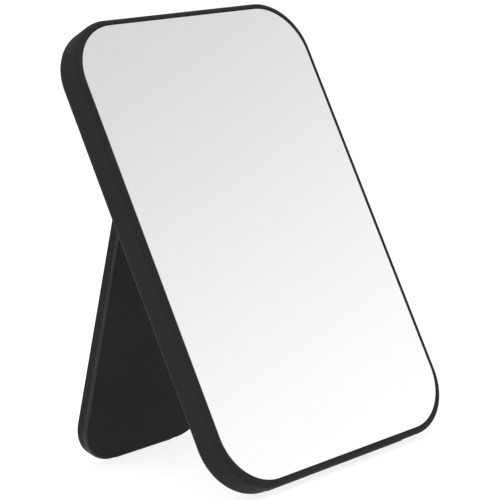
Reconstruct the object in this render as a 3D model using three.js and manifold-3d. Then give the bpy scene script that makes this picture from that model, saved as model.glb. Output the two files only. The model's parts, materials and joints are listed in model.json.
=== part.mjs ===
// Countertop mirror on a folding leg. Millimetres, +Z up, X across, the glass faces -Y.
// The origin is on the table, at the centre of the object's footprint box.
// The mirror is built upright in its own axes: x across, y back from the front lip, z up from the lower edge.
// The leg has its own axes, with the hinge pin as x, y out of its outer face and z up along it.
import * as THREE from "three";
import { mergeVertices } from "three/addons/utils/BufferGeometryUtils.js";
import Module from "manifold-3d";

const wasm = await Module();
wasm.setup();

// Driving dimensions of the mirror
const WIDTH = 140;
const HEIGHT = 210;
const DEPTH = 14.9;
const CORNER_RADIUS = 24.8;
const FRONT_FILLET = 2.2;
const REAR_FILLET = 4;
const GAP = 0.3; // between pieces that touch
const LIP = 2.6; // width of the rounded lip round the glass, seen from the front
const GLASS_CORNER_RADIUS = 23.3;
const GLASS_THICKNESS = 2;
const GLASS_RECESS = 0.2; // glass face behind the lip
const TAPE_THICKNESS = 0.8;
const TAPE_WIDTH = 12;
const TAPE_MARGIN = 7; // from the glass edge to the tape
const WEB = 1.4; // plate of the frame behind the glass
const WALL = 2.4;
const COVER_THICKNESS = 2;

// Driving dimensions of the leg and its hinge
const OPEN_ANGLE = THREE.MathUtils.degToRad(41.45); // between the leg and the mirror, on the stop
const LEG_LENGTH = 171.2; // from the pin's axis to the lower end
const LEG_WIDTH = 82; // just above the rounded lower corners
const LEG_TAPER = THREE.MathUtils.degToRad(3); // of each side, narrower towards the pin
const LEG_CORNER_RADIUS = 20.7;
const LEG_THICKNESS = 6.4;
const LEG_FILLET = 1;
const LEG_RIM = 1.6; // width of the rim round the panel
const LEG_SKIN = 1.6; // outer wall of the shell
const HEAD_LENGTH = 9; // solid head of the leg below the pin
const HEEL_LENGTH = 6; // head of the leg above the pin
const PANEL_THICKNESS = 1.4;
const PANEL_RECESS = 0.2;
const RIB = 1.2;
const RIB_SPACING = 28; // between the two lengthwise ribs
const FOLDED_GAP = 0.5; // between the folded leg and the back cover
const PIN_FROM_TOP = 39.7;
const PIN_RADIUS = 1.5;
const PIN_SUNK = 0.4; // of the pin's ends in the ears
const EAR_THICKNESS = 5;
const EAR_RADIUS = 3.6;
const EAR_SPREAD = 2.2; // of the ear's foot past its eye, up and down
const WASHER_THICKNESS = 0.6;
const WASHER_RADIUS = 3.2;
const WASHER_PLAY = 0.4; // between washer and leg

// Fasteners and feet
const SCREW_HEAD_RADIUS = 2.6;
const SCREW_HEAD_HEIGHT = 1;
const SCREW_SHANK_RADIUS = 1.1;
const SCREW_LENGTH = 7; // below the head
const SCREW_SUNK = 0.1; // of the head below the cover's face
const SCREW_POINT_RADIUS = 0.2;
const SCREW_POINT_LENGTH = 1;
const CROSS_LENGTH = 3; // of the recess in the head
const CROSS_WIDTH = 0.6;
const CROSS_DEPTH = 0.5;
const SCREW_SIDE_INSET = 15; // of the screws' axes from the frame's sides
const SCREW_END_INSET = 18; // and from its lower and upper edges
const BOSS_RADIUS = 3.2;
const FOOT_PROUD = 0.2; // of the rubber below the plastic
const FOOT_LENGTH = 88;
const FOOT_FORWARD = 1.1; // reach of the frame's rubber before the centre of the rounded edge
const FOOT_REARWARD = 1.6; // and behind it
const FOOT_HEIGHT = 1.3;
const LEG_FOOT_LENGTH = 40;
const LEG_FOOT_THICKNESS = 3.2;
const LEG_FOOT_SUNK = 0.9; // of the leg's rubber in the leg's end

const ARC_STEPS = 9; // half the steps of an arc in an outline
const ROUND_STEPS = 24; // to a whole small circle
const OVERSHOOT = 20; // of a cutting body past the faces that it cuts
const ROOT = 0.5; // how far a rib, boss or ear runs into the wall that it grows from

// Places worked out from the driving dimensions
const GLASS_BACK = GLASS_RECESS + GLASS_THICKNESS;
const REBATE_DEPTH = GLASS_BACK + TAPE_THICKNESS + 2 * GAP;
const CAVITY_FRONT = REBATE_DEPTH + WEB;
const COVER_FRONT = DEPTH - COVER_THICKNESS;
const PIN_Y = DEPTH + FOLDED_GAP + LEG_THICKNESS / 2;
const PIN_Z = HEIGHT - PIN_FROM_TOP;
const WASHER_X = legSide(0, 0) + WASHER_PLAY;
const EAR_X = WASHER_X + WASHER_THICKNESS + GAP;
// Lower edge of the open leg's inner face, in the mirror's axes
const TOE_Y = PIN_Y + LEG_LENGTH * Math.sin(OPEN_ANGLE) - (LEG_THICKNESS / 2) * Math.cos(OPEN_ANGLE);
const TOE_Z = PIN_Z - LEG_LENGTH * Math.cos(OPEN_ANGLE) - (LEG_THICKNESS / 2) * Math.sin(OPEN_ANGLE);
// Centre of the rounded lower rear edge, which carries the frame on the table
const HEEL_Y = DEPTH - REAR_FILLET;
const HEEL_Z = REAR_FILLET;
// The table touches that edge's rubber and the toe's rubber, which sets the lean of the mirror
const LEAN =
  Math.atan2(TOE_Z - HEEL_Z, TOE_Y - HEEL_Y) +
  Math.asin(REAR_FILLET / Math.hypot(TOE_Z - HEEL_Z, TOE_Y - HEEL_Y));
const LIFT = REAR_FILLET + FOOT_PROUD - HEEL_Z * Math.cos(LEAN) + HEEL_Y * Math.sin(LEAN);
const LEG_LEAN = OPEN_ANGLE - LEAN; // of the open leg from the vertical
const PIN_HEIGHT = PIN_Z * Math.cos(LEAN) - PIN_Y * Math.sin(LEAN) + LIFT;

// Half the leg's width at height z, `inset` inside its outline: the tapered side touches the corner's arc.
function legSide(inset, z) {
  const centreX = LEG_WIDTH / 2 - LEG_CORNER_RADIUS;
  const centreZ = LEG_CORNER_RADIUS - LEG_LENGTH;
  const reach = (LEG_CORNER_RADIUS - inset) / Math.cos(LEG_TAPER);
  return centreX + reach - (z - centreZ) * Math.tan(LEG_TAPER);
}

// ---- solids ----

function solid(geometry) {
  const bare = geometry.index ? geometry.toNonIndexed() : geometry.clone();
  bare.deleteAttribute("normal");
  bare.deleteAttribute("uv");
  const merged = mergeVertices(bare, 1e-4);
  return new wasm.Manifold(
    new wasm.Mesh({
      numProp: 3,
      vertProperties: new Float32Array(merged.attributes.position.array),
      triVerts: new Uint32Array(merged.index.array),
    }),
  );
}

function geometryOf(manifold) {
  const mesh = manifold.getMesh();
  const geometry = new THREE.BufferGeometry();
  geometry.setAttribute("position", new THREE.BufferAttribute(new Float32Array(mesh.vertProperties), 3));
  geometry.setIndex(new THREE.BufferAttribute(new Uint32Array(mesh.triVerts), 1));
  const flat = geometry.toNonIndexed();
  flat.computeVertexNormals();
  return flat;
}

// A shape drawn in x and z, extruded from y = front to y = back, with its long edges rounded by `fillet`.
function plate(shape, front, back, fillet = 0, steps = 5) {
  const geometry = new THREE.ExtrudeGeometry(shape, {
    depth: back - front - 2 * fillet,
    curveSegments: ARC_STEPS,
    bevelEnabled: fillet > 0,
    bevelThickness: fillet,
    bevelSize: fillet,
    bevelOffset: -fillet,
    bevelSegments: steps,
  });
  geometry.rotateX(Math.PI / 2); // the extrusion now runs along -y
  geometry.translate(0, back - fillet, 0);
  return solid(geometry);
}

function roundedRectangle(inset, r = CORNER_RADIUS - inset) {
  const half = WIDTH / 2 - inset;
  const low = inset;
  const high = HEIGHT - inset;
  const shape = new THREE.Shape();
  shape.moveTo(half, low + r);
  shape.absarc(half - r, high - r, r, 0, Math.PI / 2);
  shape.absarc(-half + r, high - r, r, Math.PI / 2, Math.PI);
  shape.absarc(-half + r, low + r, r, Math.PI, 1.5 * Math.PI);
  shape.absarc(half - r, low + r, r, 1.5 * Math.PI, 2 * Math.PI);
  return shape;
}

// Outline of the leg, or of a smaller one inside it, from z = top down to its lower end.
function legOutline(inset, top) {
  const r = LEG_CORNER_RADIUS - inset;
  const centreX = LEG_WIDTH / 2 - LEG_CORNER_RADIUS;
  const centreZ = LEG_CORNER_RADIUS - LEG_LENGTH;
  const shape = new THREE.Shape();
  shape.moveTo(legSide(inset, top), top);
  shape.lineTo(-legSide(inset, top), top);
  shape.absarc(-centreX, centreZ, r, Math.PI - LEG_TAPER, 1.5 * Math.PI);
  shape.absarc(centreX, centreZ, r, 1.5 * Math.PI, 2 * Math.PI + LEG_TAPER);
  return shape;
}

function box(xLow, xHigh, yLow, yHigh, zLow, zHigh) {
  const geometry = new THREE.BoxGeometry(xHigh - xLow, yHigh - yLow, zHigh - zLow);
  geometry.translate((xLow + xHigh) / 2, (yLow + yHigh) / 2, (zLow + zHigh) / 2);
  return solid(geometry);
}

function rodAlongX(radius, xLow, xHigh, y, z) {
  const geometry = new THREE.CylinderGeometry(radius, radius, xHigh - xLow, ROUND_STEPS);
  geometry.rotateZ(Math.PI / 2);
  geometry.translate((xLow + xHigh) / 2, y, z);
  return solid(geometry);
}

function rodAlongY(radius, x, yLow, yHigh, z) {
  const geometry = new THREE.CylinderGeometry(radius, radius, yHigh - yLow, ROUND_STEPS);
  geometry.translate(x, (yLow + yHigh) / 2, z);
  return solid(geometry);
}

// A straight prism along X whose section is a polygon of [y, z] points.
function prismAlongX(points, xLow, xHigh) {
  const shape = new THREE.Shape(points.map(([y, z]) => new THREE.Vector2(y, z)));
  const geometry = new THREE.ExtrudeGeometry(shape, { depth: xHigh - xLow, bevelEnabled: false });
  // shape x, y and depth become y, z and x
  geometry.applyMatrix4(new THREE.Matrix4().set(0, 0, 1, xLow, 1, 0, 0, 0, 0, 1, 0, 0, 0, 0, 0, 1));
  return solid(geometry);
}

// ---- the mirror ----

const SCREW_PLACES = [];
for (const z of [SCREW_END_INSET, HEIGHT / 2, HEIGHT - SCREW_END_INSET])
  for (const side of [-1, 1]) SCREW_PLACES.push([side * (WIDTH / 2 - SCREW_SIDE_INSET), z]);

// Section of the frame's rubber strip, flat on the table. With a margin it is the strip's groove instead,
// open downwards.
function frameFootSection(margin) {
  const forward = -FOOT_FORWARD - margin;
  const rearward = FOOT_REARWARD + margin;
  const bottom = margin > 0 ? -OVERSHOOT : 0;
  const top = FOOT_HEIGHT + margin;
  const onTable = [
    [forward, bottom],
    [rearward, bottom],
    [rearward, top],
    [forward, top],
  ];
  // from the table's axes, under the rounded edge's centre, to the mirror's axes
  const centreHeight = REAR_FILLET + FOOT_PROUD;
  return onTable.map(([along, up]) => [
    HEEL_Y + along * Math.cos(LEAN) - (up - centreHeight) * Math.sin(LEAN),
    HEEL_Z + along * Math.sin(LEAN) + (up - centreHeight) * Math.cos(LEAN),
  ]);
}

function frontFrame() {
  const outline = roundedRectangle(0);
  let body = plate(outline, 0, DEPTH + OVERSHOOT, FRONT_FILLET, 4).intersect(
    plate(outline, -OVERSHOOT, DEPTH, REAR_FILLET, 6),
  );
  const rebate = roundedRectangle(LIP, GLASS_CORNER_RADIUS + GAP);
  body = body.subtract(plate(rebate, -OVERSHOOT, REBATE_DEPTH));
  body = body.subtract(plate(roundedRectangle(WALL), CAVITY_FRONT, DEPTH + OVERSHOOT));
  const bossBack = COVER_FRONT - GAP;
  for (const [x, z] of SCREW_PLACES) {
    body = body.add(rodAlongY(BOSS_RADIUS, x, CAVITY_FRONT - ROOT, bossBack, z));
    body = body.subtract(rodAlongY(SCREW_SHANK_RADIUS + GAP, x, CAVITY_FRONT, DEPTH, z));
  }
  const half = FOOT_LENGTH / 2 + GAP;
  return body.subtract(prismAlongX(frameFootSection(GAP), -half, half));
}

function mirrorGlass() {
  return plate(roundedRectangle(LIP + GAP, GLASS_CORNER_RADIUS), GLASS_RECESS, GLASS_BACK, 0.3, 1);
}

const TAPE_FRONT = GLASS_BACK + GAP;
const TAPE_BACK = TAPE_FRONT + TAPE_THICKNESS;
const TAPE_SIDE_X = WIDTH / 2 - LIP - TAPE_MARGIN;
const TAPE_LOW_Z = LIP + TAPE_MARGIN;
const TAPE_HIGH_Z = HEIGHT - LIP - TAPE_MARGIN;
const TAPE_CLEAR = CORNER_RADIUS; // the strips stop short of the rounded corners

function tapeAcross(zLow) {
  const half = TAPE_SIDE_X - TAPE_CLEAR;
  return box(-half, half, TAPE_FRONT, TAPE_BACK, zLow, zLow + TAPE_WIDTH);
}

function tapeUpright(side) {
  const inner = TAPE_SIDE_X - TAPE_WIDTH;
  const [low, high] = side < 0 ? [-TAPE_SIDE_X, -inner] : [inner, TAPE_SIDE_X];
  return box(low, high, TAPE_FRONT, TAPE_BACK, TAPE_LOW_Z + TAPE_CLEAR, TAPE_HIGH_Z - TAPE_CLEAR);
}

// One hinge ear: a round eye about the pin on a foot that runs into the cover.
function hingeEar(side) {
  const low = side < 0 ? -EAR_X - EAR_THICKNESS : EAR_X;
  const high = low + EAR_THICKNESS;
  const eye = rodAlongX(EAR_RADIUS, low, high, PIN_Y, PIN_Z);
  const foot = prismAlongX(
    [
      [DEPTH - ROOT, PIN_Z - EAR_RADIUS - EAR_SPREAD],
      [PIN_Y, PIN_Z - EAR_RADIUS],
      [PIN_Y, PIN_Z + EAR_RADIUS],
      [DEPTH - ROOT, PIN_Z + EAR_RADIUS + EAR_SPREAD],
    ],
    low,
    high,
  );
  return eye.add(foot);
}

function backCover() {
  const headSeat = DEPTH - SCREW_HEAD_HEIGHT - GAP;
  let body = plate(roundedRectangle(WALL + GAP), COVER_FRONT, DEPTH, 0.3, 2);
  for (const [x, z] of SCREW_PLACES) {
    body = body.subtract(rodAlongY(SCREW_HEAD_RADIUS + GAP, x, headSeat, DEPTH + OVERSHOOT, z));
    body = body.subtract(rodAlongY(SCREW_SHANK_RADIUS + GAP, x, COVER_FRONT - OVERSHOOT, DEPTH, z));
  }
  for (const side of [-1, 1]) body = body.add(hingeEar(side));
  const reach = EAR_X + EAR_THICKNESS + OVERSHOOT;
  return body.subtract(rodAlongX(PIN_RADIUS + GAP, -reach, reach, PIN_Y, PIN_Z));
}

// Pan-head screw with a cross recess, its axis along y, its head at the back.
function coverScrew(x, z) {
  const face = DEPTH - SCREW_SUNK;
  const seat = DEPTH - SCREW_HEAD_HEIGHT;
  const pointBase = seat - SCREW_LENGTH + SCREW_POINT_LENGTH;
  let body = rodAlongY(SCREW_HEAD_RADIUS, x, seat, face, z);
  body = body.add(rodAlongY(SCREW_SHANK_RADIUS, x, pointBase, seat + ROOT, z));
  const point = new THREE.CylinderGeometry(
    SCREW_SHANK_RADIUS,
    SCREW_POINT_RADIUS,
    SCREW_POINT_LENGTH,
    ROUND_STEPS,
  );
  point.translate(x, pointBase - SCREW_POINT_LENGTH / 2, z);
  body = body.add(solid(point));
  for (const [alongX, alongZ] of [
    [CROSS_LENGTH / 2, CROSS_WIDTH / 2],
    [CROSS_WIDTH / 2, CROSS_LENGTH / 2],
  ])
    body = body.subtract(box(x - alongX, x + alongX, face - CROSS_DEPTH, DEPTH + 1, z - alongZ, z + alongZ));
  return body;
}

// ---- the hinge ----

function hingePin() {
  const half = EAR_X + EAR_THICKNESS - PIN_SUNK;
  return rodAlongX(PIN_RADIUS, -half, half, PIN_Y, PIN_Z);
}

function frictionWasher(side) {
  const low = side < 0 ? -WASHER_X - WASHER_THICKNESS : WASHER_X;
  const high = low + WASHER_THICKNESS;
  return rodAlongX(WASHER_RADIUS, low, high, PIN_Y, PIN_Z).subtract(
    rodAlongX(PIN_RADIUS + GAP, low - 1, high + 1, PIN_Y, PIN_Z),
  );
}

// ---- the leg ----

// Where the table's plane lies under the open leg, as z in the leg's axes at a given y.
const tableZ = (y) => -(PIN_HEIGHT + y * Math.sin(LEG_LEAN)) / Math.cos(LEG_LEAN);

// Section of the leg's rubber strip, flat on the table. With a margin it is the groove in the leg's end.
function legFootSection(margin) {
  const half = LEG_FOOT_THICKNESS / 2 + margin;
  const top = -LEG_LENGTH + LEG_FOOT_SUNK + margin;
  const low = (y) => (margin > 0 ? -LEG_LENGTH - OVERSHOOT : tableZ(y));
  return [
    [-half, low(-half)],
    [half, low(half)],
    [half, top],
    [-half, top],
  ];
}

// What is cut off the heel so that its bevel lies on the back cover when the leg is open.
function heelCut() {
  const stop = FOLDED_GAP + LEG_THICKNESS / 2 - GAP; // from the pin's axis to the bevel
  const towards = [-Math.cos(OPEN_ANGLE), Math.sin(OPEN_ANGLE)]; // from the pin towards the cover
  const along = [Math.sin(OPEN_ANGLE), Math.cos(OPEN_ANGLE)]; // up the cover
  const at = (out, up) => [towards[0] * out + along[0] * up, towards[1] * out + along[1] * up];
  const far = stop + OVERSHOOT;
  const section = [at(stop, -OVERSHOOT), at(stop, OVERSHOOT), at(far, OVERSHOOT), at(far, -OVERSHOOT)];
  return prismAlongX(section, -LEG_WIDTH, LEG_WIDTH);
}

function legShell() {
  const inner = -LEG_THICKNESS / 2;
  const outer = LEG_THICKNESS / 2;
  const skin = outer - LEG_SKIN;
  let body = plate(legOutline(0, HEEL_LENGTH), inner, outer, LEG_FILLET, 3).subtract(heelCut());
  body = body.subtract(plate(legOutline(LEG_RIM, -HEAD_LENGTH), inner - OVERSHOOT, skin));
  // ribs that carry the panel
  const ribFront = inner + PANEL_RECESS + PANEL_THICKNESS + GAP;
  const ribBack = skin + ROOT;
  const pocket = plate(legOutline(LEG_RIM - ROOT, -HEAD_LENGTH + ROOT), ribFront, ribBack);
  for (const x of [-RIB_SPACING / 2, RIB_SPACING / 2]) {
    const rib = box(x - RIB / 2, x + RIB / 2, ribFront, ribBack, -LEG_LENGTH, 0);
    body = body.add(rib.intersect(pocket));
  }
  for (const part of [0.25, 0.5, 0.75]) {
    const z = -LEG_LENGTH * part;
    const rib = box(-LEG_WIDTH, LEG_WIDTH, ribFront, ribBack, z - RIB / 2, z + RIB / 2);
    body = body.add(rib.intersect(pocket));
  }
  body = body.subtract(rodAlongX(PIN_RADIUS + GAP, -LEG_WIDTH, LEG_WIDTH, 0, 0));
  const half = LEG_FOOT_LENGTH / 2 + GAP;
  return body.subtract(prismAlongX(legFootSection(GAP), -half, half));
}

function legPanel() {
  const front = -LEG_THICKNESS / 2 + PANEL_RECESS;
  return plate(legOutline(LEG_RIM + GAP, -HEAD_LENGTH - GAP), front, front + PANEL_THICKNESS, 0.2, 1);
}

// ---- materials and assembly ----

const plastic = (color, roughness) => new THREE.MeshStandardMaterial({ color, roughness, metalness: 0 });
const steel = () => new THREE.MeshStandardMaterial({ color: 0xb9bbbe, roughness: 0.35, metalness: 1 });
const rubber = () => new THREE.MeshStandardMaterial({ color: 0x1b1b1c, roughness: 0.9, metalness: 0 });
const silver = () => new THREE.MeshStandardMaterial({ color: 0xf2f4f5, roughness: 0.02, metalness: 1 });
const foam = () => new THREE.MeshStandardMaterial({ color: 0xe9e7df, roughness: 0.95, metalness: 0 });

function named(name, manifold, material) {
  const mesh = new THREE.Mesh(geometryOf(manifold), material);
  mesh.name = name;
  return mesh;
}

const mirror = new THREE.Group();
mirror.add(named("front_frame", frontFrame(), plastic(0x2b2c2e, 0.55)));
mirror.add(named("mirror_glass", mirrorGlass(), silver()));
mirror.add(named("glass_tape_bottom", tapeAcross(TAPE_LOW_Z), foam()));
mirror.add(named("glass_tape_top", tapeAcross(TAPE_HIGH_Z - TAPE_WIDTH), foam()));
mirror.add(named("glass_tape_left", tapeUpright(-1), foam()));
mirror.add(named("glass_tape_right", tapeUpright(1), foam()));
mirror.add(named("back_cover", backCover(), plastic(0x2a2b2d, 0.6)));
SCREW_PLACES.forEach(([x, z], i) => mirror.add(named(`cover_screw_${i + 1}`, coverScrew(x, z), steel())));
mirror.add(named("hinge_pin", hingePin(), steel()));
mirror.add(named("friction_washer_left", frictionWasher(-1), steel()));
mirror.add(named("friction_washer_right", frictionWasher(1), steel()));
const footHalf = FOOT_LENGTH / 2;
mirror.add(named("frame_foot_strip", prismAlongX(frameFootSection(0), -footHalf, footHalf), rubber()));

const leg = new THREE.Group();
leg.position.set(0, PIN_Y, PIN_Z);
leg.rotation.x = OPEN_ANGLE;
leg.add(named("stand_shell", legShell(), plastic(0x2b2c2e, 0.55)));
leg.add(named("stand_panel", legPanel(), plastic(0x27282a, 0.6)));
const legFootHalf = LEG_FOOT_LENGTH / 2;
leg.add(named("stand_foot_strip", prismAlongX(legFootSection(0), -legFootHalf, legFootHalf), rubber()));
mirror.add(leg);

// Lean the mirror back, stand it on the table and centre its footprint on the origin.
mirror.rotation.x = -LEAN;
mirror.position.z = LIFT;
mirror.updateMatrixWorld(true);
const footprint = new THREE.Box3().setFromObject(mirror, true);
mirror.position.y = -(footprint.min.y + footprint.max.y) / 2;

const countertopMirror = new THREE.Group();
countertopMirror.add(mirror);

export default countertopMirror;
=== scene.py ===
import json
from math import acos, asin, atan2, cos, hypot, pi, radians, sin, tan

import bmesh
import bpy
from mathutils import Matrix, Quaternion, Vector


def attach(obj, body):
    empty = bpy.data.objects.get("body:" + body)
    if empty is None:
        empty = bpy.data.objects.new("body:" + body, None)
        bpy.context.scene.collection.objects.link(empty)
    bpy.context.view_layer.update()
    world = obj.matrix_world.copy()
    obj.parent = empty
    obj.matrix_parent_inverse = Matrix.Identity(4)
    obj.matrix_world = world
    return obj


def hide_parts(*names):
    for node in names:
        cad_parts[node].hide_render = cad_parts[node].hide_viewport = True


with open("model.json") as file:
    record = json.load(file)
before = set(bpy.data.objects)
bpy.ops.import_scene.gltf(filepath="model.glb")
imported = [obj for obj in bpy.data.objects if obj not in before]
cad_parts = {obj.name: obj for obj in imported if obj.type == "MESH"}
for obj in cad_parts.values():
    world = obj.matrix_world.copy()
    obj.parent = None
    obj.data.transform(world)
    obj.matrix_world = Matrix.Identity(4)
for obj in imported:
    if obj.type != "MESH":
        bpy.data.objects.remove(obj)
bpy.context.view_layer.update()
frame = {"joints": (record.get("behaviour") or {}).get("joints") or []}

# Countertop mirror on a folding leg. Sizes are in millimetres, as the CAD's are, and a finished
# piece's mesh is scaled to metres. The mirror has its own axes: x across, y back from the front
# lip, z up from the lower edge. The leg's axes start at the hinge pin: y out of its outer face, z
# up along it.
MM = 0.001

WIDTH = 140
HEIGHT = 210
DEPTH = 14.9
CORNER_RADIUS = 24.8
FRONT_FILLET = 2.2
REAR_FILLET = 4
GAP = 0.3
LIP = 2.6
GLASS_CORNER_RADIUS = 23.3
GLASS_RECESS = 0.2
GLASS_THICKNESS = 2
GLASS_ARRIS = 0.1
GLASS_FACING = 0.9  # a face of the pane that looks forward at least this much is its front
TAPE_THICKNESS = 0.8
TAPE_WIDTH = 12
TAPE_MARGIN = 7
TAPE_EDGE = 0.25
WEB = 1.4
WALL = 2.4
COVER_THICKNESS = 2
COVER_FILLET = 0.4

LEG_LENGTH = 171.2
LEG_WIDTH = 82
LEG_TAPER = radians(3)
LEG_CORNER_RADIUS = 20.7
LEG_THICKNESS = 6.4
LEG_FILLET = 1
LEG_EDGE_RADIUS = 1.4  # of the edges round its inner face, which fingers rub smooth
RUBBED_INWARD_LOW = 0.1  # a face of that rounding is rubbed if its normal leans inward between
RUBBED_INWARD_HIGH = 0.98  # these two
RUBBED_SIDEWAYS = 0.15  # and sideways at least this much
LEG_RIM = 1.6
LEG_SKIN = 1.6
HEAD_LENGTH = 9
HEEL_LENGTH = 6
HEAD_CORNER_RADIUS = 1.6
PANEL_THICKNESS = 1.4
PANEL_RECESS = 0.2
PANEL_CORNER_RADIUS = 1.4
PANEL_SEAM = 0.08  # the panel is pressed in flush, with a hairline round it
RIB = 1.2
RIB_SPACING = 28
CROSS_RIBS = (0.25, 0.5, 0.75)  # their places, as shares of the leg's length
FOLDED_GAP = 0.5
PIN_FROM_TOP = 39.7
PIN_RADIUS = 1.5
PIN_SUNK = 0.4
EAR_THICKNESS = 5
EAR_RADIUS = 3.6
EAR_SPREAD = 2.2
EAR_FILLET = 0.5
WASHER_THICKNESS = 0.6
WASHER_RADIUS = 3.2
WASHER_PLAY = 0.4
WASHER_EDGE = 0.1
WASHER_PUNCHED_EDGE = 0.15  # rounder, where the punch went in
WASHER_EDGE_STEPS = 3
EAR_STEPS = 24
PIN_CHAMFER = 0.25

SCREW_HEAD_RADIUS = 2.6
SCREW_HEAD_HEIGHT = 1
SCREW_SUNK = 0.1
SCREW_SHANK_RADIUS = 1.1
SCREW_ROOT_RADIUS = 0.85
SCREW_PITCH = 0.8
SCREW_LENGTH = 7
SCREW_POINT_LENGTH = 1
SCREW_POINT_RADIUS = 0.2
SCREW_SIDE_INSET = 15
SCREW_END_INSET = 18
CROSS_LENGTH = 3
CROSS_WIDTH = 0.6
CROSS_DEPTH = 0.5
CROSS_FLOOR_SHARE = 0.7  # the recess narrows to this at its floor
CROSS_MOUTH_SHARE = 1.4  # and the tool widens to this above the head
CROSS_MOUTH = 1
SCREW_HEAD_EDGE = 0.1
SCREW_CROWN = 0.35  # radius that rounds the head's rim
SCREW_CROWN_STEPS = 4
THREAD_STEPS = 10  # to a pitch
THREAD_SLOPE = 3  # of a ridge, which spans two thirds of the pitch
BOSS_RADIUS = 3.2
BOSS_DRAFT = 0.3  # a boss is this much wider at its root
FOOT_PROUD = 0.2
FOOT_LENGTH = 88
FOOT_FORWARD = 1.1
FOOT_REARWARD = 1.6
FOOT_HEIGHT = 1.3
LEG_FOOT_LENGTH = 40
LEG_FOOT_THICKNESS = 3.2
LEG_FOOT_SUNK = 0.9
LEG_FOOT_RISE = 1.4
RUBBER_END = 3  # length over which a rubber strip's end curves up
RUBBER_END_STEPS = 6
RUBBER_EDGE = 0.15

SOFTENED = 0.25  # radius of a moulded edge that would otherwise be sharp
CORNER_STEPS = 28
FILLET_STEPS = 6
ROUND_STEPS = 48
OVERSHOOT = 20  # of a cutting tool beyond what it cuts
ROOT = 0.5  # depth to which a joined part is sunk
GUIDE = 1  # how far off the end points are that only give a profile's end corners a direction
SOFTENED_SEGMENTS = 3
SOFTENED_ANGLE = radians(30)
SHARP_ANGLE = radians(35)

GLASS_BACK = GLASS_RECESS + GLASS_THICKNESS
TAPE_FRONT = GLASS_BACK + GAP
REBATE_DEPTH = TAPE_FRONT + TAPE_THICKNESS + GAP
CAVITY_FRONT = REBATE_DEPTH + WEB
COVER_FRONT = DEPTH - COVER_THICKNESS
PIN_Y = DEPTH + FOLDED_GAP + LEG_THICKNESS / 2
PIN_Z = HEIGHT - PIN_FROM_TOP
HEEL_Y = DEPTH - REAR_FILLET
HEEL_Z = REAR_FILLET

# The hinge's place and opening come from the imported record, and the lean follows from them as in
# the CAD: the table touches the frame's rounded lower rear edge and the leg's toe.
hinge = frame["joints"][0]
PIN = Vector(hinge["pos_m"])
OPEN_ANGLE = radians(hinge["range_deg"][1])
TOE_Y = PIN_Y + LEG_LENGTH * sin(OPEN_ANGLE) - LEG_THICKNESS / 2 * cos(OPEN_ANGLE)
TOE_Z = PIN_Z - LEG_LENGTH * cos(OPEN_ANGLE) - LEG_THICKNESS / 2 * sin(OPEN_ANGLE)
TOE_REACH = hypot(TOE_Z - HEEL_Z, TOE_Y - HEEL_Y)
LEAN = atan2(TOE_Z - HEEL_Z, TOE_Y - HEEL_Y) + asin(REAR_FILLET / TOE_REACH)
LEG_LEAN = OPEN_ANGLE - LEAN
PIN_HEIGHT = PIN.z / MM

MIRROR_TURN = Matrix.Rotation(-LEAN, 4, "X")
PIN_OFFSET = MIRROR_TURN @ Vector((0, PIN_Y * MM, PIN_Z * MM))
MIRROR_PLACE = Matrix.Translation(PIN - PIN_OFFSET) @ MIRROR_TURN
LEG_PLACE = Matrix.Translation(PIN) @ Matrix.Rotation(LEG_LEAN, 4, "X")


# ---- outlines: lists of (x, z) ----

def arc(centre, radius, start, end, steps):
    angles = [start + (end - start) * i / steps for i in range(steps + 1)]
    return [(centre[0] + radius * cos(a), centre[1] + radius * sin(a)) for a in angles]


def mirror_outline(inset, radius):
    """A rounded rectangle, `inset` inside the frame's outer wall."""
    x = WIDTH / 2 - inset - radius
    low = inset + radius
    high = HEIGHT - inset - radius
    centres = [(x, high), (-x, high), (-x, low), (x, low)]
    outline = []
    for quarter, centre in enumerate(centres):
        start = quarter * pi / 2
        outline += arc(centre, radius, start, start + pi / 2, CORNER_STEPS)
    return outline


def leg_side(inset, z):
    """Half the leg's width at height z, `inset` inside its outline."""
    centre_x = LEG_WIDTH / 2 - LEG_CORNER_RADIUS
    centre_z = LEG_CORNER_RADIUS - LEG_LENGTH
    reach = (LEG_CORNER_RADIUS - inset) / cos(LEG_TAPER)
    return centre_x + reach - (z - centre_z) * tan(LEG_TAPER)


def leg_outline(inset, top, top_radius):
    """The leg's outline, `inset` inside its sides, from z = top down to its rounded end."""
    radius = LEG_CORNER_RADIUS - inset
    x = LEG_WIDTH / 2 - LEG_CORNER_RADIUS
    z = LEG_CORNER_RADIUS - LEG_LENGTH
    high = top - top_radius
    top_x = leg_side(inset, high) - top_radius / cos(LEG_TAPER)
    return (
        arc((x, z), radius, 1.5 * pi, 2 * pi + LEG_TAPER, CORNER_STEPS)
        + arc((top_x, high), top_radius, LEG_TAPER, pi / 2, FILLET_STEPS)
        + arc((-top_x, high), top_radius, pi / 2, pi - LEG_TAPER, FILLET_STEPS)
        + arc((-x, z), radius, pi - LEG_TAPER, 1.5 * pi, CORNER_STEPS)
    )


def rounded(points, steps=FILLET_STEPS):
    """A line through (a, b, radius) points, with each corner rounded by its radius."""
    line = []
    for i, (a, b, radius) in enumerate(points):
        corner = Vector((a, b))
        if radius == 0:
            line.append((a, b))
            continue
        before = (Vector(points[i - 1][:2]) - corner).normalized()
        after = (Vector(points[(i + 1) % len(points)][:2]) - corner).normalized()
        half = acos(max(-1, min(1, before.dot(after)))) / 2
        centre = corner + (before + after).normalized() * (radius / sin(half))
        start = corner + before * (radius / tan(half)) - centre
        end = corner + after * (radius / tan(half)) - centre
        turn = start.angle_signed(end)
        for k in range(steps + 1):
            point = centre + Matrix.Rotation(-turn * k / steps, 2) @ start
            line.append((point.x, point.y))
    return line


# ---- mesh building ----

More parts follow.
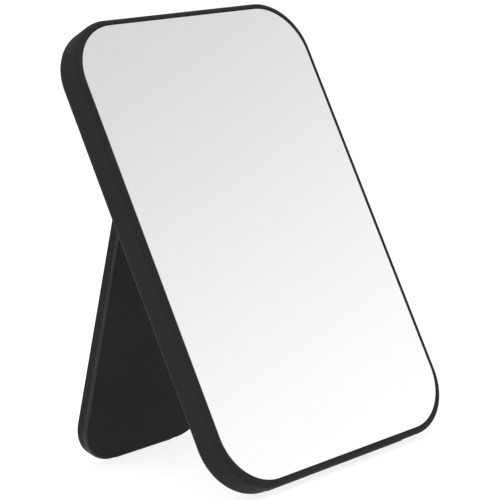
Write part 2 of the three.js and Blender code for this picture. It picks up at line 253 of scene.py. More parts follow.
def new_piece(bm, name, place):
    """A piece from a bmesh in millimetres, put in its place."""
    bmesh.ops.remove_doubles(bm, verts=bm.verts, dist=1e-4)
    bmesh.ops.recalc_face_normals(bm, faces=bm.faces)
    bmesh.ops.transform(bm, matrix=place @ Matrix.Scale(MM, 4), verts=bm.verts)
    mesh = bpy.data.meshes.new(name)
    bm.to_mesh(mesh)
    bm.free()
    piece = bpy.data.objects.new(name, mesh)
    bpy.context.scene.collection.objects.link(piece)
    return piece


def skin(loops, name, place, closed=False):
    """A closed surface over loops of points, capped at both ends, or made a ring if `closed`."""
    bm = bmesh.new()
    rows = [[bm.verts.new(point) for point in loop] for loop in loops]
    count = len(rows[0])
    pairs = list(zip(rows, rows[1:]))
    if closed:
        pairs.append((rows[-1], rows[0]))
    else:
        bm.faces.new(rows[0])
        bm.faces.new(rows[-1])
    for a, b in pairs:
        for i in range(count):
            j = (i + 1) % count
            bm.faces.new((a[i], a[j], b[j], b[i]))
    return new_piece(bm, name, place)


def loft_y(rings, name="tool", place=MIRROR_PLACE):
    """A skin over rings of (outline of (x, z), y)."""
    return skin([[(x, y, z) for x, z in outline] for outline, y in rings], name, place)


def loft_x(rings, name="tool", place=MIRROR_PLACE):
    """A skin over rings of (outline of (y, z), x)."""
    return skin([[(x, y, z) for y, z in outline] for outline, x in rings], name, place)


def lathe(
    profile, axis_point, axis="y", name="tool", place=MIRROR_PLACE, hollow=False, twist=None
):
    """A body turned about an axis along x or y.

    The profile is a list of (radius, place along the axis), and `twist` may change a radius by
    its place and angle.
    """
    loops = []
    for radius, along in profile:
        loop = []
        for i in range(ROUND_STEPS):
            angle = 2 * pi * i / ROUND_STEPS
            r = twist(radius, along, angle) if twist else radius
            u, v = r * cos(angle), r * sin(angle)
            offset = (along, u, v) if axis == "x" else (u, along, v)
            loop.append(Vector(axis_point) + Vector(offset))
        loops.append(loop)
    return skin(loops, name, place, closed=hollow)


def rod(radius, low, high, axis_point, axis="y", place=MIRROR_PLACE):
    return lathe([(radius, low), (radius, high)], axis_point, axis, place=place)


def block(low, high, name="tool", place=MIRROR_PLACE):
    section = [(low[1], low[2]), (high[1], low[2]), (high[1], high[2]), (low[1], high[2])]
    return loft_x([(section, low[0]), (section, high[0])], name, place)


def combine(piece, tool, operation):
    """Cuts the tool from the piece or joins it on, and removes the tool."""
    step = piece.modifiers.new("combine", "BOOLEAN")
    step.operation = operation
    step.solver = "EXACT"
    step.object = tool
    bake_modifiers(piece)
    bpy.data.objects.remove(tool)


def bake_modifiers(piece):
    """Applies the piece's modifiers to its mesh."""
    bpy.context.view_layer.update()
    graph = bpy.context.evaluated_depsgraph_get()
    mesh = bpy.data.meshes.new_from_object(piece.evaluated_get(graph))
    piece.modifiers.clear()
    piece.data = mesh


def cut(piece, *tools):
    for tool in tools:
        combine(piece, tool, "DIFFERENCE")


def join(piece, *tools):
    for tool in tools:
        combine(piece, tool, "UNION")


def soften(piece, width):
    """Rounds every edge of a simple piece."""
    bevel = piece.modifiers.new("edges", "BEVEL")
    bevel.width = width * MM
    bevel.segments = SOFTENED_SEGMENTS
    bevel.limit_method = "ANGLE"
    bevel.angle_limit = SOFTENED_ANGLE
    bake_modifiers(piece)


def settle(piece, node, body, material):
    """Shades a finished piece, and lets it stand for its CAD node on that node's body."""
    piece.data.shade_smooth()
    piece.data.set_sharp_from_angle(angle=SHARP_ANGLE)
    normals = piece.modifiers.new("normals", "WEIGHTED_NORMAL")
    normals.keep_sharp = True
    piece.data.materials.clear()
    piece.data.materials.append(material)
    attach(piece, body)
    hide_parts(node)
    return piece


# ---- materials ----

MATT_IOR = 1.14  # low, as the spark-eroded grain scatters most of the surface reflection
COVER_IOR = 1.22
RUBBED_IOR = 1.34

NOISE_LOW = 0.3  # most of a noise texture lies between these
NOISE_HIGH = 0.7
CLOUD_SCALE = 45  # of the uneven colour of moulded plastic
FLOW_STRETCH = (30, 30, 7)  # of its flow marks, which run up the piece
FLOW_SCALE = 4
FINE_GRAIN = 2.5  # the fine grain's scale, as a multiple of the coarse grain's
PAINTED_SHADE_LOW = 0.2  # the cloud value that the painted shade starts and ends at, darker below and lighter above
PAINTED_SHADE_HIGH = 0.8
CLOUDS_UNDER_PAINTED_SHADE = 0.1  # what is left of the clouds under the painted shade


class Nodes:
    """A short way to write a node tree."""

    def __init__(self, tree):
        self.tree = tree

    def add(self, kind, inputs=None, **settings):
        node = self.tree.nodes.new(kind)
        for key, value in settings.items():
            setattr(node, key, value)
        for key, value in (inputs or {}).items():
            if isinstance(value, bpy.types.NodeSocket):
                self.tree.links.new(value, node.inputs[key])
            else:
                node.inputs[key].default_value = value
        return node

    def noise(self, place, scale, detail=2.0):
        inputs = {"Vector": place, "Scale": scale, "Detail": detail}
        return self.add("ShaderNodeTexNoise", inputs).outputs["Fac"]

    def cells(self, place, scale):
        inputs = {"Vector": place, "Scale": scale}
        return self.add("ShaderNodeTexVoronoi", inputs).outputs["Distance"]

    def math(self, operation, first, second):
        return self.add("ShaderNodeMath", {0: first, 1: second}, operation=operation).outputs[0]

    def height(self, place):
        return self.add("ShaderNodeSeparateXYZ", {"Vector": place}).outputs["Z"]

    def ramp(self, factor, low, high, start=NOISE_LOW, end=NOISE_HIGH, smooth=False):
        inputs = {"Value": factor, "From Min": start, "From Max": end}
        inputs.update({"To Min": low, "To Max": high})
        blend = "SMOOTHSTEP" if smooth else "LINEAR"
        return self.add("ShaderNodeMapRange", inputs, interpolation_type=blend).outputs["Result"]

    def colours(self, factor, first, second, start=NOISE_LOW, end=NOISE_HIGH):
        node = self.add("ShaderNodeValToRGB", {"Fac": factor})
        for element, at, colour in zip(node.color_ramp.elements, (start, end), (first, second)):
            element.position = at
            element.color = (*colour, 1)
        return node.outputs["Color"]

    def bump(self, height, strength, distance, normal=None):
        inputs = {"Height": height, "Strength": strength, "Distance": distance}
        if normal:
            inputs["Normal"] = normal
        return self.add("ShaderNodeBump", inputs).outputs["Normal"]


def start_material(name):
    material = bpy.data.materials.new(name)
    material.use_nodes = True
    nodes = Nodes(material.node_tree)
    shader = material.node_tree.nodes["Principled BSDF"]
    place = nodes.add("ShaderNodeTexCoord").outputs["Object"]
    return material, nodes, shader, place


def connect(nodes, shader, **sockets):
    for key, socket in sockets.items():
        nodes.tree.links.new(socket, shader.inputs[key.replace("_", " ").title()])


def moulded_plastic(name, colours, roughness, grain, grain_height, ior=MATT_IOR, painted_shade_heights=None):
    """Black moulded plastic: a fine spark-eroded grain, and faint flow marks in its gloss.

    `colours` and `roughness` are its two ends of each. An optional pair of heights paints shade
    by height: between them the colour goes from the first end, at the bottom, to the second, at
    the top.
    """
    material, nodes, shader, place = start_material(name)
    shader.inputs["IOR"].default_value = ior
    clouds_and_painted_shade = nodes.noise(place, CLOUD_SCALE, detail=4)
    # painted shade: the colour runs from its darker end low down to its lighter end higher up, by
    # height alone
    if painted_shade_heights:
        share = nodes.ramp(nodes.height(place), PAINTED_SHADE_LOW, PAINTED_SHADE_HIGH, *painted_shade_heights)
        clouds_and_painted_shade = nodes.ramp(clouds_and_painted_shade, nodes.math("ADD", share, -CLOUDS_UNDER_PAINTED_SHADE), share)
    stretch = {"Vector": place, "Scale": FLOW_STRETCH}
    flow = nodes.add("ShaderNodeMapping", stretch).outputs["Vector"]
    colour = nodes.colours(clouds_and_painted_shade, *colours)
    gloss = nodes.ramp(nodes.noise(flow, FLOW_SCALE, detail=3), *roughness)
    coarse = nodes.noise(place, grain)
    fine = nodes.cells(place, grain * FINE_GRAIN)
    normal = nodes.bump(coarse, 0.5, grain_height)
    normal = nodes.bump(fine, 0.3, grain_height, normal)
    connect(nodes, shader, base_color=colour, roughness=gloss, normal=normal)
    return material


def mirror_silver():
    """Silvered float glass, with a breath of dust in its gloss."""
    material, nodes, shader, place = start_material("mirror_silver")
    shader.inputs["Metallic"].default_value = 1
    haze = nodes.noise(place, 6)
    tint = nodes.colours(haze, (0.925, 0.925, 0.925), (0.935, 0.935, 0.935))
    gloss = nodes.ramp(nodes.noise(place, 900, detail=4), 0.002, 0.012)
    wave = nodes.bump(nodes.noise(place, 12, detail=1), 0.05, 0.00002)
    connect(nodes, shader, base_color=tint, roughness=gloss, normal=wave)
    return material


def glass_edge():
    """The ground edge and the back of the pane: grey-green and matt."""
    material, nodes, shader, place = start_material("glass_edge")
    shader.inputs["Specular IOR Level"].default_value = 0.5
    grit = nodes.noise(place, 3000)
    colour = nodes.colours(grit, (0.16, 0.2, 0.18), (0.24, 0.28, 0.26))
    gloss = nodes.ramp(grit, 0.3, 0.45)
    normal = nodes.bump(grit, 0.4, 0.00002)
    connect(nodes, shader, base_color=colour, roughness=gloss, normal=normal)
    return material


def zinc_steel():
    """Zinc-plated steel with turning marks and a mottled plating."""
    material, nodes, shader, place = start_material("zinc_steel")
    shader.inputs["Metallic"].default_value = 1
    mottle = nodes.noise(place, 700, detail=4)
    colour = nodes.colours(mottle, (0.48, 0.5, 0.53), (0.66, 0.66, 0.65))
    gloss = nodes.ramp(nodes.noise(place, 250, detail=3), 0.22, 0.42)
    marks = nodes.bump(nodes.noise(place, 5000), 0.25, 0.00001)
    connect(nodes, shader, base_color=colour, roughness=gloss, normal=marks)
    return material


def matt_rubber():
    """Matt black rubber, slightly chalky, with a fine pebble."""
    material, nodes, shader, place = start_material("matt_rubber")
    shader.inputs["Specular IOR Level"].default_value = 0.3
    chalk = nodes.noise(place, 160, detail=5)
    colour = nodes.colours(chalk, (0.01, 0.01, 0.011), (0.02, 0.02, 0.02))
    gloss = nodes.ramp(chalk, 0.75, 0.92)
    normal = nodes.bump(nodes.cells(place, 2200), 0.5, 0.00005)
    connect(nodes, shader, base_color=colour, roughness=gloss, normal=normal)
    return material


def foam():
    """Closed-cell foam of the mounting tape."""
    material, nodes, shader, place = start_material("foam")
    cells = nodes.cells(place, 3500)
    colour = nodes.colours(cells, (0.72, 0.7, 0.64), (0.86, 0.84, 0.78), 0.1, 0.6)
    gloss = nodes.ramp(cells, 0.8, 0.98)
    normal = nodes.bump(cells, 0.6, 0.00008)
    connect(nodes, shader, base_color=colour, roughness=gloss, normal=normal)
    return material


FRAME_COLOURS = ((0.0198, 0.0199, 0.0214), (0.0222, 0.0223, 0.024))
COVER_COLOURS = ((0.0186, 0.0187, 0.02), (0.0208, 0.0209, 0.0224))
# the panel's colour ends give both its uneven moulded tone and a painted shade: darker at the
# bottom, lighter and more purple at the top
PANEL_COLOURS_AND_PAINTED_SHADE = ((0.0196, 0.0195, 0.0212), (0.036, 0.035, 0.0426))
# heights in metres between which the panel's painted shade goes from its darker to its lighter end
PANEL_PAINTED_SHADE_HEIGHTS = (0.01, 0.12)
FRAME_PLASTIC = moulded_plastic("frame_plastic", FRAME_COLOURS, (0.58, 0.66), 1900, 0.00002)
RUBBED_PLASTIC = moulded_plastic(
    "rubbed_plastic", FRAME_COLOURS, (0.4, 0.46), 1900, 0.00001, ior=RUBBED_IOR
)
COVER_PLASTIC = moulded_plastic(
    "cover_plastic", COVER_COLOURS, (0.54, 0.62), 1300, 0.00004, ior=COVER_IOR
)
# the leg's panel, with painted shade: darker towards its bottom, lighter towards its top
PANEL_PLASTIC_PAINTED_SHADE = moulded_plastic(
    "panel_plastic", PANEL_COLOURS_AND_PAINTED_SHADE, (0.6, 0.68), 1500, 0.00003, painted_shade_heights=PANEL_PAINTED_SHADE_HEIGHTS
)
SILVER = mirror_silver()
GLASS_EDGE = glass_edge()
STEEL = zinc_steel()
RUBBER = matt_rubber()
FOAM = foam()


# ---- the mirror ----

SCREW_X = WIDTH / 2 - SCREW_SIDE_INSET
SCREW_HEIGHTS = (SCREW_END_INSET, HEIGHT / 2, HEIGHT - SCREW_END_INSET)
SCREW_PLACES = [(side * SCREW_X, z) for z in SCREW_HEIGHTS for side in (-1, 1)]


def outer_ring(inset):
    return mirror_outline(inset, CORNER_RADIUS - inset)


def rebate_ring(inset):
    """The opening for the glass, whose corners are rounder than the frame's."""
    return mirror_outline(inset, GLASS_CORNER_RADIUS + GAP + LIP - inset)


def frame_foot_section(margin=0):
    """The frame's rubber strip, flat on the table; with a margin, its groove, open downwards."""
    forward = -FOOT_FORWARD - margin
    rearward = FOOT_REARWARD + margin
    bottom = -OVERSHOOT if margin else 0
    top = FOOT_HEIGHT + margin
    centre_height = REAR_FILLET + FOOT_PROUD
    corners = [(forward, bottom), (rearward, bottom), (rearward, top), (forward, top)]
    return [
        (
            HEEL_Y + along * cos(LEAN) - (up - centre_height) * sin(LEAN),
            HEEL_Z + along * sin(LEAN) + (up - centre_height) * cos(LEAN),
        )
        for along, up in corners
    ]


def front_frame():
    """Front moulding: rebate for the glass, rounded lip and wall, cavity with bosses behind."""
    rebate = rounded([
        (LIP + GUIDE, REBATE_DEPTH, 0),
        (LIP, REBATE_DEPTH, SOFTENED),
        (LIP, 0, SOFTENED),
        (LIP - GUIDE, 0, 0),
    ])
    front = rounded([(LIP - SOFTENED, 0, 0), (0, 0, FRONT_FILLET), (0, DEPTH, 0)])[1:-1]
    turn = acos((REAR_FILLET - WALL) / REAR_FILLET)
    rear_arc = [turn * i / FILLET_STEPS for i in range(FILLET_STEPS + 1)]
    rear = [(REAR_FILLET * (1 - cos(a)), HEEL_Y + REAR_FILLET * sin(a)) for a in rear_arc]
    cavity = [(WALL, CAVITY_FRONT)]
    rings = [(rebate_ring(inset), y) for inset, y in rebate[1:-1]]
    rings += [(outer_ring(inset), y) for inset, y in front + rear + cavity]
    piece = loft_y(rings, "front_frame_moulding")
    for x, z in SCREW_PLACES:
        at = (x, 0, z)
        boss = [(BOSS_RADIUS + BOSS_DRAFT, CAVITY_FRONT - ROOT), (BOSS_RADIUS, COVER_FRONT - GAP)]
        join(piece, lathe(boss, at))
        cut(piece, rod(SCREW_SHANK_RADIUS + GAP, CAVITY_FRONT, DEPTH, at))
    half = FOOT_LENGTH / 2 + GAP
    groove = frame_foot_section(GAP)
    cut(piece, loft_x([(groove, -half), (groove, half)]))
    return settle(piece, "front_frame", "mirror", FRAME_PLASTIC)


def mirror_glass():
    """The pane, with its arris ground all round. Only its front face has the silver's look."""
    inset = LIP + GAP
    profile = [
        (inset + GLASS_ARRIS, GLASS_RECESS),
        (inset, GLASS_RECESS + GLASS_ARRIS),
        (inset, GLASS_BACK - GLASS_ARRIS),
        (inset + GLASS_ARRIS, GLASS_BACK),
    ]
    rings = [(mirror_outline(i, GLASS_CORNER_RADIUS + inset - i), y) for i, y in profile]
    piece = loft_y(rings, "silvered_pane")
    settle(piece, "mirror_glass", "mirror", SILVER)
    piece.data.materials.append(GLASS_EDGE)
    facing = MIRROR_TURN @ Vector((0, -1, 0))
    for face in piece.data.polygons:
        face.material_index = 0 if face.normal.dot(facing) > GLASS_FACING else 1
    return piece


TAPE_SIDE_X = WIDTH / 2 - LIP - TAPE_MARGIN
TAPE_LOW_Z = LIP + TAPE_MARGIN
TAPE_HIGH_Z = HEIGHT - LIP - TAPE_MARGIN


def foam_tape(name, low_x, high_x, low_z, high_z):
    """One strip of foam tape behind the glass, with rounded edges."""
    back = TAPE_FRONT + TAPE_THICKNESS
    piece = block((low_x, TAPE_FRONT, low_z), (high_x, back, high_z), f"{name}_strip")
    soften(piece, TAPE_EDGE)
    return settle(piece, name, "mirror", FOAM)


def foam_tapes():
    half = TAPE_SIDE_X - CORNER_RADIUS
    inner = TAPE_SIDE_X - TAPE_WIDTH
    low, high = TAPE_LOW_Z + CORNER_RADIUS, TAPE_HIGH_Z - CORNER_RADIUS
    foam_tape("glass_tape_bottom", -half, half, TAPE_LOW_Z, TAPE_LOW_Z + TAPE_WIDTH)
    foam_tape("glass_tape_top", -half, half, TAPE_HIGH_Z - TAPE_WIDTH, TAPE_HIGH_Z)
    foam_tape("glass_tape_left", -TAPE_SIDE_X, -inner, low, high)
    foam_tape("glass_tape_right", inner, TAPE_SIDE_X, low, high)


WASHER_X = leg_side(0, 0) + WASHER_PLAY
EAR_X = WASHER_X + WASHER_THICKNESS + GAP


def ear_section(inset):
    """A hinge ear from the side, as (y, z): a round eye on a foot that flares into the cover."""
    radius = EAR_RADIUS - inset
    eye = arc((PIN_Y, PIN_Z), radius, -pi / 2, pi / 2, EAR_STEPS)
    foot = radius + EAR_SPREAD
    top, bottom = PIN_Z + foot, PIN_Z - foot
    flare_y = DEPTH + EAR_SPREAD / 2
    upper = [(flare_y, top - EAR_SPREAD / 3), (DEPTH, top), (DEPTH - ROOT, top)]
    lower = [(DEPTH - ROOT, bottom), (DEPTH, bottom), (flare_y, bottom + EAR_SPREAD / 3)]
    return eye + upper + lower


def hinge_ear(side):
    near, far = side * EAR_X, side * (EAR_X + EAR_THICKNESS)
    edge = rounded([(GUIDE, 0, 0), (0, 0, EAR_FILLET), (0, GUIDE, 0)])[1:-1]
    rings = [(ear_section(inset), near + side * depth) for inset, depth in edge]
    rings += [(ear_section(inset), far - side * depth) for inset, depth in reversed(edge)]
    return loft_x(rings)


def back_cover():
    """Back plate with countersunk screw wells and the two hinge ears."""
    inset = WALL + GAP
    profile = rounded([
        (inset + GUIDE, COVER_FRONT, 0),
        (inset, COVER_FRONT, SOFTENED),
        (inset, DEPTH, COVER_FILLET),
        (inset + GUIDE, DEPTH, 0),
    ])
    piece = loft_y([(outer_ring(i), y) for i, y in profile[1:-1]], "back_cover_moulding")
    well = SCREW_HEAD_RADIUS + GAP
    seat = DEPTH - SCREW_HEAD_HEIGHT - GAP
    mouth = well + SOFTENED
    flare = [(well, seat), (well, DEPTH - SOFTENED), (mouth, DEPTH), (mouth, DEPTH + OVERSHOOT)]
    for x, z in SCREW_PLACES:
        cut(piece, lathe(flare, (x, 0, z)), rod(SCREW_SHANK_RADIUS + GAP, 0, DEPTH, (x, 0, z)))
    join(piece, hinge_ear(-1), hinge_ear(1))
    reach = EAR_X + EAR_THICKNESS + OVERSHOOT
    cut(piece, rod(PIN_RADIUS + GAP, -reach, reach, (0, PIN_Y, PIN_Z), "x"))
    return settle(piece, "back_cover", "mirror", COVER_PLASTIC)


def thread(radius, along, angle):
    """Lets the shank's radius rise and fall along a helix; the head and the point keep theirs."""
    if radius != SCREW_SHANK_RADIUS:
        return radius
    phase = (along / SCREW_PITCH - angle / (2 * pi)) % 1
    ridge = max(0, 1 - abs(phase - 0.5) * THREAD_SLOPE)
    return SCREW_ROOT_RADIUS + (SCREW_SHANK_RADIUS - SCREW_ROOT_RADIUS) * ridge


def cross_tool(x, z, face, long_x, long_z):
    """What is cut from a screw's head for one bar of its cross recess."""
    half_x, half_z = long_x / 2, long_z / 2
    bar = [(-half_x, -half_z), (half_x, -half_z), (half_x, half_z), (-half_x, half_z)]
    levels = [
        (CROSS_FLOOR_SHARE, face - CROSS_DEPTH),
        (1, face),
        (CROSS_MOUTH_SHARE, face + CROSS_MOUTH),
    ]
    return loft_y([([(x + share * u, z + share * v) for u, v in bar], y) for share, y in levels])


def cover_screw(number, x, z):
    """Self-tapping pan-head screw with a cross recess, head at the back."""
    face = DEPTH - SCREW_SUNK
    seat = DEPTH - SCREW_HEAD_HEIGHT
    end = seat - SCREW_LENGTH
    threaded = SCREW_LENGTH - SCREW_POINT_LENGTH - ROOT
    steps = round(threaded / SCREW_PITCH * THREAD_STEPS)
    start = end + SCREW_POINT_LENGTH
    shank = [
        (SCREW_SHANK_RADIUS, start + SCREW_PITCH * i / THREAD_STEPS) for i in range(steps + 1)
    ]
    head = [
        (SCREW_ROOT_RADIUS, seat),
        (SCREW_HEAD_RADIUS - SCREW_HEAD_EDGE, seat),
        (SCREW_HEAD_RADIUS, seat + SCREW_HEAD_EDGE),
        (SCREW_HEAD_RADIUS, face - SCREW_CROWN),
    ]
    angles = [pi / 2 * i / SCREW_CROWN_STEPS for i in range(1, SCREW_CROWN_STEPS + 1)]
    crown = [
        (SCREW_HEAD_RADIUS - SCREW_CROWN * (1 - cos(a)), face - SCREW_CROWN * (1 - sin(a)))
        for a in angles
    ]
    profile = [(SCREW_POINT_RADIUS, end)] + shank + head + crown
    piece = lathe(profile, (x, 0, z), name=f"cover_screw_{number}_threaded", twist=thread)
    cut(piece, cross_tool(x, z, face, CROSS_LENGTH, CROSS_WIDTH))
    cut(piece, cross_tool(x, z, face, CROSS_WIDTH, CROSS_LENGTH))
    return settle(piece, f"cover_screw_{number}", "mirror", STEEL)


def hinge_pin():
    half = EAR_X + EAR_THICKNESS - PIN_SUNK
    profile = [
        (PIN_RADIUS - PIN_CHAMFER, -half),
        (PIN_RADIUS, PIN_CHAMFER - half),
        (PIN_RADIUS, half - PIN_CHAMFER),
        (PIN_RADIUS - PIN_CHAMFER, half),
    ]
    piece = lathe(profile, (0, PIN_Y, PIN_Z), "x", "hinge_pin_turned")
    return settle(piece, "hinge_pin", "mirror", STEEL)


def friction_washer(name, side):
    """A stamped washer: one edge rounded by the punch, the other left crisp."""
    near, far = side * WASHER_X, side * (WASHER_X + WASHER_THICKNESS)
    bore = PIN_RADIUS + GAP
    corners = [
        (bore, near, WASHER_EDGE),
        (bore, far, WASHER_PUNCHED_EDGE),
        (WASHER_RADIUS, far, WASHER_PUNCHED_EDGE),
        (WASHER_RADIUS, near, WASHER_EDGE),
    ]
    section = rounded(corners, steps=WASHER_EDGE_STEPS)
    piece = lathe(section, (0, PIN_Y, PIN_Z), "x", f"{name}_stamped", hollow=True)
    return settle(piece, name, "mirror", STEEL)


def rubber_strip(name, section, length, body, place, rise):
    """A moulded strip whose lower edge, its section's first two points, curves up at both ends."""
    rings = []
    for i in range(RUBBER_END_STEPS + 1):
        quarter = pi / 2 * i / RUBBER_END_STEPS
        lift = rise * (1 - sin(quarter))
        lifted = [(a, b + lift) for a, b in section[:2]] + section[2:]
        rings.append((lifted, RUBBER_END * (1 - cos(quarter)) - length / 2))
    rings += [(lifted, -x) for lifted, x in reversed(rings)]
    strip = loft_x(rings, f"{name}_rubber", place)
    soften(strip, RUBBER_EDGE)
    return settle(strip, name, body, RUBBER)


# ---- the leg ----

def leg_foot_section(margin=0):
    """The leg's rubber strip, cut flat along the table; with a margin, its groove in the leg."""
    half = LEG_FOOT_THICKNESS / 2 + margin
    top = LEG_FOOT_SUNK + margin - LEG_LENGTH
    low = [-LEG_LENGTH - OVERSHOOT] * 2
    if not margin:
        low = [-(PIN_HEIGHT + y * sin(LEG_LEAN)) / cos(LEG_LEAN) for y in (-half, half)]
    return [(-half, low[0]), (half, low[1]), (half, top), (-half, top)]


def heel_cut():
    """What is cut off the heel so that its bevel lies on the back cover when the leg is open."""
    stop = FOLDED_GAP + LEG_THICKNESS / 2 - GAP
    towards = Vector((-cos(OPEN_ANGLE), sin(OPEN_ANGLE)))
    along = Vector((sin(OPEN_ANGLE), cos(OPEN_ANGLE)))
    far = stop + OVERSHOOT
    corners = [(stop, -OVERSHOOT), (stop, OVERSHOOT), (far, OVERSHOOT), (far, -OVERSHOOT)]
    section = [tuple(towards * out + along * up) for out, up in corners]
    return loft_x([(section, -LEG_WIDTH), (section, LEG_WIDTH)], place=LEG_PLACE)


def stand_shell():
    """The leg's outer moulding: a shallow ribbed tray under the panel, with a bevelled heel."""
    inner = -LEG_THICKNESS / 2
    outer = LEG_THICKNESS / 2
    floor = outer - LEG_SKIN
    pocket = rounded([
        (LEG_RIM + GUIDE, floor, 0),
        (LEG_RIM, floor, SOFTENED),
        (LEG_RIM, inner, PANEL_SEAM / 2),
        (LEG_RIM - GUIDE, inner, 0),
    ])
    wall = rounded([
        (GUIDE, inner, 0),
        (0, inner, LEG_EDGE_RADIUS),
        (0, outer, LEG_FILLET),
        (GUIDE, outer, 0),
    ])
    rings = [
        (leg_outline(inset, LEG_RIM - inset - HEAD_LENGTH, PANEL_CORNER_RADIUS), y)
        for inset, y in pocket[1:-1]
    ]
    rings += [
        (leg_outline(inset, HEEL_LENGTH - inset, HEAD_CORNER_RADIUS + LEG_FILLET - inset), y)
        for inset, y in wall[1:-1]
    ]
    piece = loft_y(rings, "stand_shell_moulding", LEG_PLACE)
    cut(piece, heel_cut())
    rib_front = inner + PANEL_RECESS + PANEL_THICKNESS + GAP
    rib_back = floor + ROOT
    for x in (-RIB_SPACING / 2, RIB_SPACING / 2):
        end = LEG_RIM - ROOT - LEG_LENGTH
        low, high = (x - RIB / 2, rib_front, end), (x + RIB / 2, rib_back, ROOT - HEAD_LENGTH)
        join(piece, block(low, high, place=LEG_PLACE))
    for share in CROSS_RIBS:
        z = -LEG_LENGTH * share
        side = leg_side(LEG_RIM - ROOT, z)
        low, high = (-side, rib_front, z - RIB / 2), (side, rib_back, z + RIB / 2)
        join(piece, block(low, high, place=LEG_PLACE))
    cut(piece, rod(PIN_RADIUS + GAP, -LEG_WIDTH, LEG_WIDTH, (0, 0, 0), "x", LEG_PLACE))
    half = LEG_FOOT_LENGTH / 2 + GAP
    groove = leg_foot_section(GAP)
    cut(piece, loft_x([(groove, -half), (groove, half)], place=LEG_PLACE))
    settle(piece, "stand_shell", "stand", FRAME_PLASTIC)
    rub_side_edges(piece)
    return piece


def rub_side_edges(shell):
    """Gives the smoother plastic to the rounding along both sides of the shell's inner face."""
    shell.data.materials.append(RUBBED_PLASTIC)
    to_leg = LEG_PLACE.inverted()
    for face in shell.data.polygons:
        normal = to_leg.to_3x3() @ face.normal
        depth = (to_leg @ face.center).y / MM + LEG_THICKNESS / 2
        inward = -normal.y
        rounding = RUBBED_INWARD_LOW < inward < RUBBED_INWARD_HIGH and depth < LEG_EDGE_RADIUS
        rubbed = rounding and abs(normal.x) > RUBBED_SIDEWAYS
        face.material_index = 1 if rubbed else 0


def stand_panel():
    """The panel that closes the leg's inner face."""
    inset = LEG_RIM + PANEL_SEAM
    front = PANEL_SEAM / 4 - LEG_THICKNESS / 2
    back = PANEL_RECESS + PANEL_THICKNESS - LEG_THICKNESS / 2
    profile = rounded([
        (inset + GUIDE, back, 0),
        (inset, back, SOFTENED),
        (inset, front, PANEL_SEAM / 2),
        (inset + GUIDE, front, 0),
    ])
    rings = [
        (leg_outline(i, LEG_RIM - HEAD_LENGTH - i, PANEL_CORNER_RADIUS - PANEL_SEAM), y)
        for i, y in profile[1:-1]
    ]
    piece = loft_y(rings, "stand_panel_moulding", LEG_PLACE)
    return settle(piece, "stand_panel", "stand", PANEL_PLASTIC_PAINTED_SHADE)


front_frame()
mirror_glass()
foam_tapes()
back_cover()
for number, (x, z) in enumerate(SCREW_PLACES, start=1):
    cover_screw(number, x, z)
hinge_pin()
friction_washer("friction_washer_left", -1)
friction_washer("friction_washer_right", 1)
rubber_strip(
    "frame_foot_strip", frame_foot_section(), FOOT_LENGTH, "mirror", MIRROR_PLACE, FOOT_PROUD
)
stand_shell()
stand_panel()
rubber_strip(
    "stand_foot_strip", leg_foot_section(), LEG_FOOT_LENGTH, "stand", LEG_PLACE, LEG_FOOT_RISE
)


# ---- camera, floor and light ----

CAMERA_AZIMUTH = radians(-44.07)
CAMERA_ELEVATION = radians(6.02)
CAMERA_ROLL = radians(-7.88)
CAMERA_DISTANCE = 0.8169
CAMERA_AIM = Vector((0.012, -0.01275, 0.0931))
CAMERA_LENS = 130.9
CAMERA_SENSOR = 36


def make_camera():
    data = bpy.data.cameras.new("camera")
    data.lens = CAMERA_LENS
    data.sensor_width = CAMERA_SENSOR
    camera = bpy.data.objects.new("camera", data)
    bpy.context.scene.collection.objects.link(camera)
    level = cos(CAMERA_ELEVATION)
    back = Vector((
        sin(CAMERA_AZIMUTH) * level,
        -cos(CAMERA_AZIMUTH) * level,
        sin(CAMERA_ELEVATION),
    ))
    camera.location = CAMERA_AIM + back * CAMERA_DISTANCE
    camera.rotation_mode = "QUATERNION"
    roll = Quaternion((0, 0, 1), CAMERA_ROLL)
    camera.rotation_quaternion = (-back).to_track_quat("-Z", "Y") @ roll
    bpy.context.scene.camera = camera


WALL_LIGHT = 1.09  # of the studio's walls, up to the first of these elevations
WALL_LIGHT_ABOVE = 0.705  # and from the second one on
WALL_ELEVATIONS = (radians(11), radians(32.7))
OVERHEAD = 1.1  # what the overhead light adds, all of it from the second of these on
OVERHEAD_ELEVATIONS = (radians(40), radians(55))
BACK_SHADE = 0.78  # the walls' share of light behind the object
BRIGHT_SIDE = (0.7, -0.7, 0)  # the walls are brightest in this direction
SHADE_ENDS = (-0.2, 0.6)  # the shade runs between these, as cosines from the bright side

FLOOR_HALF = 5
FLOOR_COLOURS = ((0.28, 0.28, 0.28), (0.3, 0.3, 0.3))
FLOOR_MOTTLE = 3
FLOOR_ROUGHNESS = 0.9
FLOOR_SPECULAR = 0.1
FLOOR_GLOW = 0.84
WHITE = (1, 1, 1, 1)


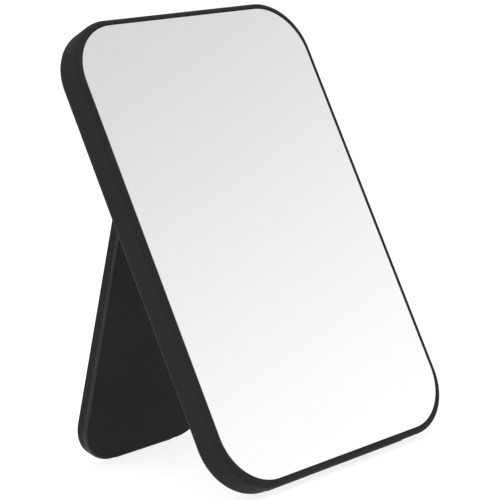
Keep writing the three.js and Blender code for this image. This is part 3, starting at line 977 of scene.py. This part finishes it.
def studio_world():
    """A soft studio: paler in front, with a broad light overhead, on a plain white background.

    Only the light that falls on things and shows in them is shaded. The background itself is
    plain.
    """
    world = bpy.data.worlds.new("studio")
    bpy.context.scene.world = world
    world.use_nodes = True
    nodes = Nodes(world.node_tree)
    direction = nodes.add("ShaderNodeTexCoord").outputs["Generated"]
    height = nodes.height(direction)
    low, high = [sin(angle) for angle in WALL_ELEVATIONS]
    wall = nodes.ramp(height, WALL_LIGHT, WALL_LIGHT_ABOVE, low, high, smooth=True)
    low, high = [sin(angle) for angle in OVERHEAD_ELEVATIONS]
    overhead = nodes.ramp(height, 0, OVERHEAD, low, high, smooth=True)
    inputs = {0: direction, 1: BRIGHT_SIDE}
    turned = nodes.add("ShaderNodeVectorMath", inputs, operation="DOT_PRODUCT").outputs["Value"]
    shade = nodes.ramp(turned, BACK_SHADE, 1, *SHADE_ENDS, smooth=True)
    light = nodes.math("ADD", nodes.math("MULTIPLY", wall, shade), overhead)
    seen = nodes.add("ShaderNodeLightPath").outputs["Is Camera Ray"]
    background = world.node_tree.nodes["Background"]
    strength = nodes.ramp(seen, light, WALL_LIGHT, 0, 1)
    world.node_tree.links.new(strength, background.inputs["Strength"])
    background.inputs["Color"].default_value = WHITE


def make_floor():
    """A plain white floor, lit evenly enough to run into the white of the studio."""
    bm = bmesh.new()
    bmesh.ops.create_grid(bm, x_segments=1, y_segments=1, size=FLOOR_HALF)
    mesh = bpy.data.meshes.new("floor")
    bm.to_mesh(mesh)
    bm.free()
    floor = bpy.data.objects.new("floor", mesh)
    bpy.context.scene.collection.objects.link(floor)
    material, nodes, shader, place = start_material("floor")
    colour = nodes.colours(nodes.noise(place, FLOOR_MOTTLE), *FLOOR_COLOURS)
    connect(nodes, shader, base_color=colour)
    shader.inputs["Roughness"].default_value = FLOOR_ROUGHNESS
    shader.inputs["Specular IOR Level"].default_value = FLOOR_SPECULAR
    shader.inputs["Emission Color"].default_value = WHITE
    shader.inputs["Emission Strength"].default_value = FLOOR_GLOW
    mesh.materials.append(material)


make_camera()
studio_world()
make_floor()
bpy.context.scene.view_settings.view_transform = "Standard"
